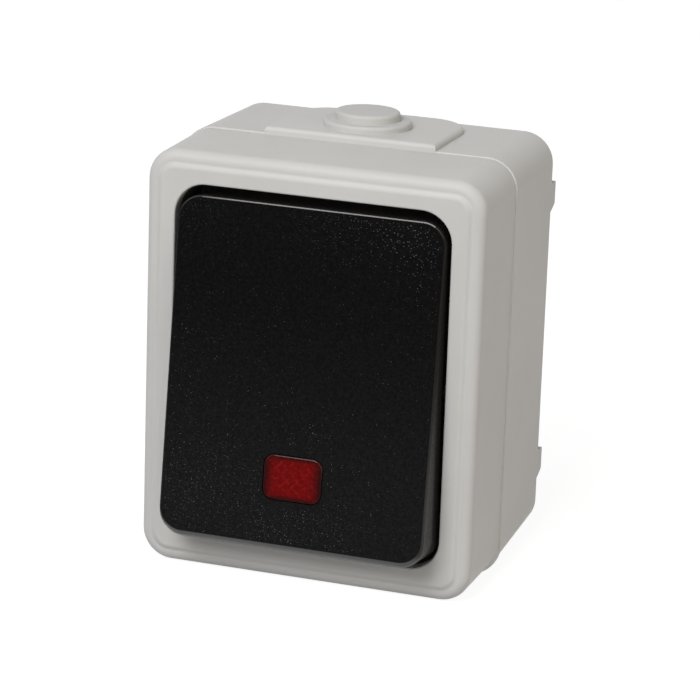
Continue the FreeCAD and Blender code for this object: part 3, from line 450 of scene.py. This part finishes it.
def rocker_grain():
    """The scattered grain as one plain mesh, set on the tilted rocker's face."""
    carrier = bpy.data.objects.new("grain_carrier", grain_field())
    scene.collection.objects.link(carrier)
    scatter = carrier.modifiers.new("scatter", "NODES")
    scatter.node_group = grain_tree()
    values = {
        "Width": GRAIN_WIDTH * MM, "Height": GRAIN_HEIGHT * MM, "Count": GRAIN_COUNT / MM ** 2,
        "Seed": GRAIN_SEED, "Finish": rocker_black,
    }
    for socket in scatter.node_group.interface.items_tree:
        if socket.in_out == "INPUT" and socket.name in values:
            scatter[socket.identifier] = values[socket.name]
    evaluated = carrier.evaluated_get(bpy.context.evaluated_depsgraph_get())
    mesh = bpy.data.meshes.new_from_object(evaluated)
    bpy.data.objects.remove(carrier)
    upright = Matrix.Rotation(math.pi / 2, 4, "X")
    forward = Matrix.Translation((0, (GRAIN_SINK - ROCKER_FACE) * MM, 0)) @ upright
    rest = Matrix.Translation(rocker_axis["pos_m"]) @ Matrix.Rotation(-rocker_tilt, 4, "X")
    mesh.transform(rest @ forward)
    grain = bpy.data.objects.new("rocker_grain", mesh)
    scene.collection.objects.link(grain)
    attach(grain, "rocker")


rocker_grain()

# Rocker lens: the clear red window of the pilot lamp, clipped into the rocker from behind. Its
# smooth front stands a little proud, with a rounded glossy rim, over a back cut in small diamonds.
# Its red is painted darker towards the rim as painted shade, and paler on the diamonds' ridges as
# painted light.
LENS_PROUD = 0.15
LENS_FACET = 1.6  # from one ridge of the diamonds to the next
RIM_START = (0.01, 0.04)  # behind the front, where the rounded rim starts
RIM_GLOSS = (0.08, 0.35)  # from the lens's middle up to its upper rim
RIM_HEIGHT = 0.5
RIM_STEEPER = 1.6  # how much faster the painted shade lifts at the upper and lower rims than at the side ones
RIM_BLEND = 1.2
RIM_SPAN = (-0.2, 2.7)  # inward from the rim, from its painted dark edge to the full red
# painted shade: the lens's red darkens towards its rim
RIM_SHADE_RED = (0.012, 0.0008, 0.0012, 1)
DEEP_RED = ((0.116, 0.0010, 0.0012, 1), (0.172, 0.0022, 0.0024, 1))
# painted light: the diamonds' ridges are painted a paler red, standing in for light the facets
# catch
RIDGE_LIT_RED = (0.23, 0.008, 0.009, 1)
RIDGE_SPAN = (0.28, 0.0)  # heights between which a ridge shows, lowest on the ridge itself
RIDGE_BREAKS = (0.40, 0.68)  # noise values between which a ridge is lost and plain


def lens_finish():
    """Red with painted shade darkening it at the rim, and painted light on the diamonds' broken
    ridges showing through.
    """
    material, tree, shader = finish_named(
        "lens_red", {"Specular IOR Level": 0.06, "Roughness": 0.3, "Coat Roughness": 0.07}
    )
    place = rocker_place(tree)
    spot = add(tree, "SeparateXYZ", {"Vector": place}).outputs
    depth = math_node(tree, "ADD", spot["Y"], ROCKER_FACE + LENS_PROUD)
    upper_rim = LENS_MIDDLE[1] + LENS_HALF[1] - RIM_HEIGHT
    upper = remap(tree, spot["Z"], LENS_MIDDLE[1], upper_rim, *RIM_GLOSS)
    coat = math_node(tree, "MULTIPLY", remap(tree, depth, *RIM_START), upper)
    tree.links.new(coat, shader.inputs["Coat Weight"])

    inward = []
    for axis, middle, half in zip("XZ", LENS_MIDDLE, LENS_HALF):
        away = math_node(tree, "ABSOLUTE", math_node(tree, "SUBTRACT", spot[axis], middle))
        inward.append(math_node(tree, "SUBTRACT", half, away))
    inward[1] = math_node(tree, "MULTIPLY", inward[1], RIM_STEEPER)
    rim = math_node(tree, "SMOOTH_MIN", *inward, RIM_BLEND)

    diagonal = add(
        tree, "VectorRotate", {"Vector": place, "Angle": math.radians(45)}, rotation_type="Y_AXIS"
    ).outputs[0]
    cut = add(tree, "SeparateXYZ", {"Vector": diagonal}).outputs
    slopes = []
    for axis in "XZ":
        steps = math_node(tree, "DIVIDE", cut[axis], LENS_FACET)
        slopes.append(math_node(tree, "PINGPONG", steps, 0.5))
    height = math_node(tree, "MULTIPLY", math_node(tree, "MINIMUM", *slopes), 2.0)
    emboss(tree, shader, height, strength=0.15, depth=0.3 * MM)

    uneven = noise(tree, place, 1.5, 3.0)
    broken = remap(tree, uneven, *RIDGE_BREAKS)
    ridge = math_node(tree, "MULTIPLY", remap(tree, height, *RIDGE_SPAN), broken)
    deep = mixed(tree, remap(tree, uneven, *NOISE_SPAN), *DEEP_RED)
    # painted light on the broken ridges
    ridges_lit = mixed(tree, ridge, deep, RIDGE_LIT_RED)
    # painted shade at the rim
    lit = remap(tree, rim, *RIM_SPAN)
    tree.links.new(mixed(tree, lit, RIM_SHADE_RED, ridges_lit), shader.inputs["Base Color"])
    return material


dress(lens_finish(), "rocker_lens")

# Membrane: the soft rubber sheet that seals the tray and is raised into a hat over the inner
# rocker. Its rim is clamped between tray and insert, and its crown leans with the inner rocker.
MERGE_DISTANCE = 0.001 * MM
SHARP_EDGE = math.radians(35)
membrane_rubber = moulded_plastic(
    "membrane_rubber", light=(0.58, 0.57, 0.53, 1), dark=(0.50, 0.49, 0.45, 1),
    grain=900.0, roughness=0.55, relief=0.5,
)


def flexing_copy(name, node, finish):
    """Own piece for a node that flexes: the node's shape with its triangles joined."""
    work = bmesh.new()
    work.from_mesh(frame["nodes"][node].data)
    bmesh.ops.remove_doubles(work, verts=work.verts, dist=MERGE_DISTANCE)
    for face in work.faces:
        face.smooth = True
    mesh = bpy.data.meshes.new(name)
    work.to_mesh(mesh)
    work.free()
    mesh.set_sharp_from_angle(angle=SHARP_EDGE)
    mesh.materials.append(finish)
    piece = bpy.data.objects.new(name, mesh)
    scene.collection.objects.link(piece)
    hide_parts(node)
    return piece


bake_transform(flexing_copy("membrane_hat", "rocker_membrane", membrane_rubber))

# Switch insert: plate, body, back and inner rocker, moulded in white insulating plastic. The plate
# clips over the body, and its countersunk screws hold the whole insert on the box's posts.
insert_white = moulded_plastic(
    "insert_white", light=(0.80, 0.79, 0.75, 1), dark=(0.74, 0.73, 0.68, 1),
    grain=2000.0, roughness=0.38, relief=0.3,
)
dress(insert_white, "insert_plate", "insert_body", "insert_back", "dolly")

# Terminals, plunger and contact lever: brass strip and rod, punched, bent and turned,
# with a faint brown tarnish and the fine drawn lines of the strip.
DRAWING = (1.0, 1.0, 0.08)  # stretches the lines upwards
TARNISH_SCALE = 220.0
TARNISH_SPAN = (0.35, 0.7)
LINES_SHINE = 0.25  # how far the lines change the roughness


def drawn_metal(name, bright, dull, roughness, lines):
    """Metal with tarnish in clouds and fine lines from rolling or turning."""
    material, tree, shader = finish_named(name, {"Metallic": 1.0})
    place = own_place(tree)
    stretched = add(tree, "VectorMath", {0: place, 1: DRAWING}, operation="MULTIPLY").outputs[0]
    drawn = noise(tree, stretched, lines, 4.0)
    cloud = noise(tree, place, TARNISH_SCALE, 4.0)
    tarnish = mixed(tree, remap(tree, cloud, *TARNISH_SPAN), bright, dull)
    tree.links.new(tarnish, shader.inputs["Base Color"])
    shine = math_node(tree, "MULTIPLY_ADD", drawn, LINES_SHINE, roughness)
    tree.links.new(shine, shader.inputs["Roughness"])
    emboss(tree, shader, drawn, strength=0.2, depth=0.03 * MM)
    return material


brass = drawn_metal(
    "terminal_brass", bright=(0.78, 0.57, 0.25, 1), dull=(0.60, 0.40, 0.17, 1),
    roughness=0.20, lines=2600.0,
)
dress(
    brass, "common_terminal", "upper_terminal", "lower_terminal", "lamp_terminal", "plunger",
    "contact_lever",
)

# Contacts: small silver alloy rivets, headed over in the lever and in the switched terminals.
# Their faces are bright, with a little grey tarnish.
silver = drawn_metal(
    "contact_silver", bright=(0.86, 0.85, 0.82, 1), dull=(0.70, 0.68, 0.64, 1),
    roughness=0.22, lines=3000.0,
)
dress(silver, "fixed_contacts", "moving_contacts")

# Screws and lamp wires: zinc-plated steel screws for the cover, the insert and the terminals,
# and the lamp's tinned wires, bent to shape and clamped in their terminals.
steel = drawn_metal(
    "screw_steel", bright=(0.66, 0.67, 0.69, 1), dull=(0.50, 0.51, 0.53, 1),
    roughness=0.24, lines=2400.0,
)
dress(steel, "cover_screws", "insert_screws", "terminal_screws", "lamp_leads")

# Toggle spring: a short coil of steel wire in the inner rocker's nose, behind the plunger.
# It is pressed shorter as the plunger rides over the lever's ridge.
spring = flexing_copy("toggle_coil", "toggle_spring", steel)
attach(spring, "dolly")
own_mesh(spring)

# Pilot lamp: a small glow lamp, drawn from clear glass tube and sealed at both ends.
# It lies in its cradle under the lens, and its glass has a faint warm haze.
HAZE_SCALE = 500.0
CLEAR_GLASS = (0.98, 0.88, 0.80, 1)
HAZY_GLASS = (0.95, 0.80, 0.70, 1)
GLASS_ROUGHNESS = (0.03, 0.12)


def lamp_finish():
    """Clear glass, a little rougher where it is hazy."""
    material, tree, shader = finish_named(
        "lamp_glass", {"Transmission Weight": 0.9, "IOR": 1.5, "Metallic": 0.0}
    )
    haze = noise(tree, own_place(tree), HAZE_SCALE, 3.0)
    tree.links.new(mixed(tree, haze, CLEAR_GLASS, HAZY_GLASS), shader.inputs["Base Color"])
    rough = remap(tree, haze, *NOISE_SPAN, *GLASS_ROUGHNESS)
    tree.links.new(rough, shader.inputs["Roughness"])
    return material


dress(lamp_finish(), "pilot_lamp")

# Lamp resistor: a ceramic rod dipped in brown lacquer, with painted bands around it.
# It is soldered into one of the lamp's wires.
BANDS = 5  # bands and gaps along the rod
BAND_START = 0.62  # of the way from a gap's middle to a band's
LACQUER = ((0.50, 0.36, 0.20, 1), (0.60, 0.46, 0.29, 1))
BAND_BROWN = (0.16, 0.05, 0.02, 1)
LACQUER_ROUGHNESS = (0.3, 0.45)


def resistor_finish():
    """Brown lacquer with dark bands across the rod."""
    material, tree, shader = finish_named("resistor", {"Coat Weight": 0.3})
    low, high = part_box("lamp_resistor")
    band = (high.x - low.x) / BANDS
    spot = add(tree, "SeparateXYZ", {"Vector": own_place(tree)}).outputs
    steps = math_node(tree, "DIVIDE", math_node(tree, "SUBTRACT", spot["X"], low.x), band)
    stripe = math_node(tree, "GREATER_THAN", math_node(tree, "PINGPONG", steps, 1.0), BAND_START)
    grain = add(tree, "TexNoise", {"Scale": 900.0, "Detail": 3.0}).outputs["Fac"]
    lacquer = mixed(tree, grain, *LACQUER)
    tree.links.new(mixed(tree, stripe, lacquer, BAND_BROWN), shader.inputs["Base Color"])
    rough = remap(tree, grain, *NOISE_SPAN, *LACQUER_ROUGHNESS)
    tree.links.new(rough, shader.inputs["Roughness"])
    return material


dress(resistor_finish(), "lamp_resistor")

# Floor: a wide pale sheet under the switch. Seen directly or in a reflection it is white,
# and it keeps a soft shadow of the object.
FLOOR_HALF = 4.0
FLOOR_TONES = ((0.50, 0.50, 0.50, 1), (0.53, 0.53, 0.53, 1))
FLOOR_SHADED = (0.25, 0.25, 0.25, 1)  # the part of the white that the shadow takes away
FLOOR_WHITE = 0.90
WHITE = (1, 1, 1, 1)


def direct_look(tree):
    """One for rays that see the background itself or its mirror image, else nought."""
    ray = add(tree, "LightPath").outputs
    sharp = math_node(tree, "MAXIMUM", ray["Is Glossy Ray"], ray["Is Transmission Ray"])
    return math_node(tree, "MAXIMUM", ray["Is Camera Ray"], sharp)


def floor_paper():
    """Pale paper that looks white, and lights the object as pale paper does."""
    material = bpy.data.materials.new("floor_paper")
    material.use_nodes = True
    tree = material.node_tree
    tree.nodes.clear()
    grain = add(tree, "TexNoise", {"Scale": 30.0, "Detail": 2.0}).outputs["Fac"]
    plain = add(tree, "BsdfDiffuse", {"Color": mixed(tree, grain, *FLOOR_TONES)})
    faint = add(tree, "BsdfDiffuse", {"Color": FLOOR_SHADED})
    white = add(tree, "Emission", {"Color": WHITE, "Strength": FLOOR_WHITE})
    seen = add(tree, "AddShader", {0: faint.outputs[0], 1: white.outputs[0]})
    shown = add(
        tree, "MixShader", {0: direct_look(tree), 1: plain.outputs[0], 2: seen.outputs[0]}
    )
    add(tree, "OutputMaterial", {"Surface": shown.outputs[0]})
    return material


def floor_sheet():
    level = cad_box[0][2]
    around = ((-1, -1), (1, -1), (1, 1), (-1, 1))
    mesh = bpy.data.meshes.new("floor")
    mesh.from_pydata(
        [(x * FLOOR_HALF, y * FLOOR_HALF, level) for x, y in around], [], [(0, 1, 2, 3)]
    )
    mesh.materials.append(floor_paper())
    floor = bpy.data.objects.new("floor", mesh)
    scene.collection.objects.link(floor)


floor_sheet()

# Studio light: a white surround, a broad soft lamp above and in front, a weak warm fill from the
# right, and a second soft lamp higher up.
SURROUND = 0.22  # what the surround lights the object with
world = bpy.data.worlds.new("studio")
world.use_nodes = True
scene.world = world
tree = world.node_tree
tree.nodes.clear()
dim = add(tree, "Background", {"Color": WHITE, "Strength": SURROUND})
white = add(tree, "Background", {"Color": WHITE, "Strength": 1.0})
shown = add(tree, "MixShader", {0: direct_look(tree), 1: dim.outputs[0], 2: white.outputs[0]})
add(tree, "OutputWorld", {"Surface": shown.outputs[0]})


def soft_lamp(name, place, size, power, colour):
    """Square lamp at a place in metres, turned to the switch."""
    data = bpy.data.lights.new(name, "AREA")
    data.color = colour
    data.size = size
    data.energy = power
    lamp = bpy.data.objects.new(name, data)
    lamp.location = place
    middle = (Vector(cad_box[0]) + Vector(cad_box[1])) / 2
    lamp.rotation_euler = (Vector(place) - middle).to_track_quat("Z", "Y").to_euler()
    scene.collection.objects.link(lamp)


soft_lamp("key", place=(-0.15, -0.88, 0.68), size=0.5, power=6.6, colour=(1, 1, 1))
soft_lamp("fill", place=(0.95, -0.35, 0.25), size=0.6, power=2.2, colour=(1.0, 0.89, 0.75))
soft_lamp("high", place=(-0.1, -0.55, 0.95), size=0.5, power=2.4, colour=(1, 1, 1))

# Camera: a long lens in front, a little above and to the right, as in a catalogue picture.
# It is turned a little about its own axis, as the picture is.
FOCAL_LENGTH = 174.38
SENSOR = 36.0
AZIMUTH = math.radians(18.411)
ELEVATION = math.radians(16.771)
ROLL = math.radians(-2.007)
STAND = (196.457 * MM, -614.899 * MM, 186.024 * MM)
FARTHEST = 20.0
camera_data = bpy.data.cameras.new("camera")
camera_data.lens = FOCAL_LENGTH
camera_data.sensor_width = SENSOR
camera_data.clip_end = FARTHEST
camera = bpy.data.objects.new("camera", camera_data)
level = Vector((math.cos(AZIMUTH), math.sin(AZIMUTH), 0))
back = Vector((
    math.sin(AZIMUTH) * math.cos(ELEVATION),
    -math.cos(AZIMUTH) * math.cos(ELEVATION),
    math.sin(ELEVATION),
))
down = (-back).cross(level)
right = level * math.cos(ROLL) + down * math.sin(ROLL)
up = level * math.sin(ROLL) - down * math.cos(ROLL)
turn = Matrix((right, up, back)).transposed()
camera.matrix_world = Matrix.Translation(STAND) @ turn.to_4x4()
scene.collection.objects.link(camera)
scene.camera = camera

scene.view_settings.view_transform = "Standard"
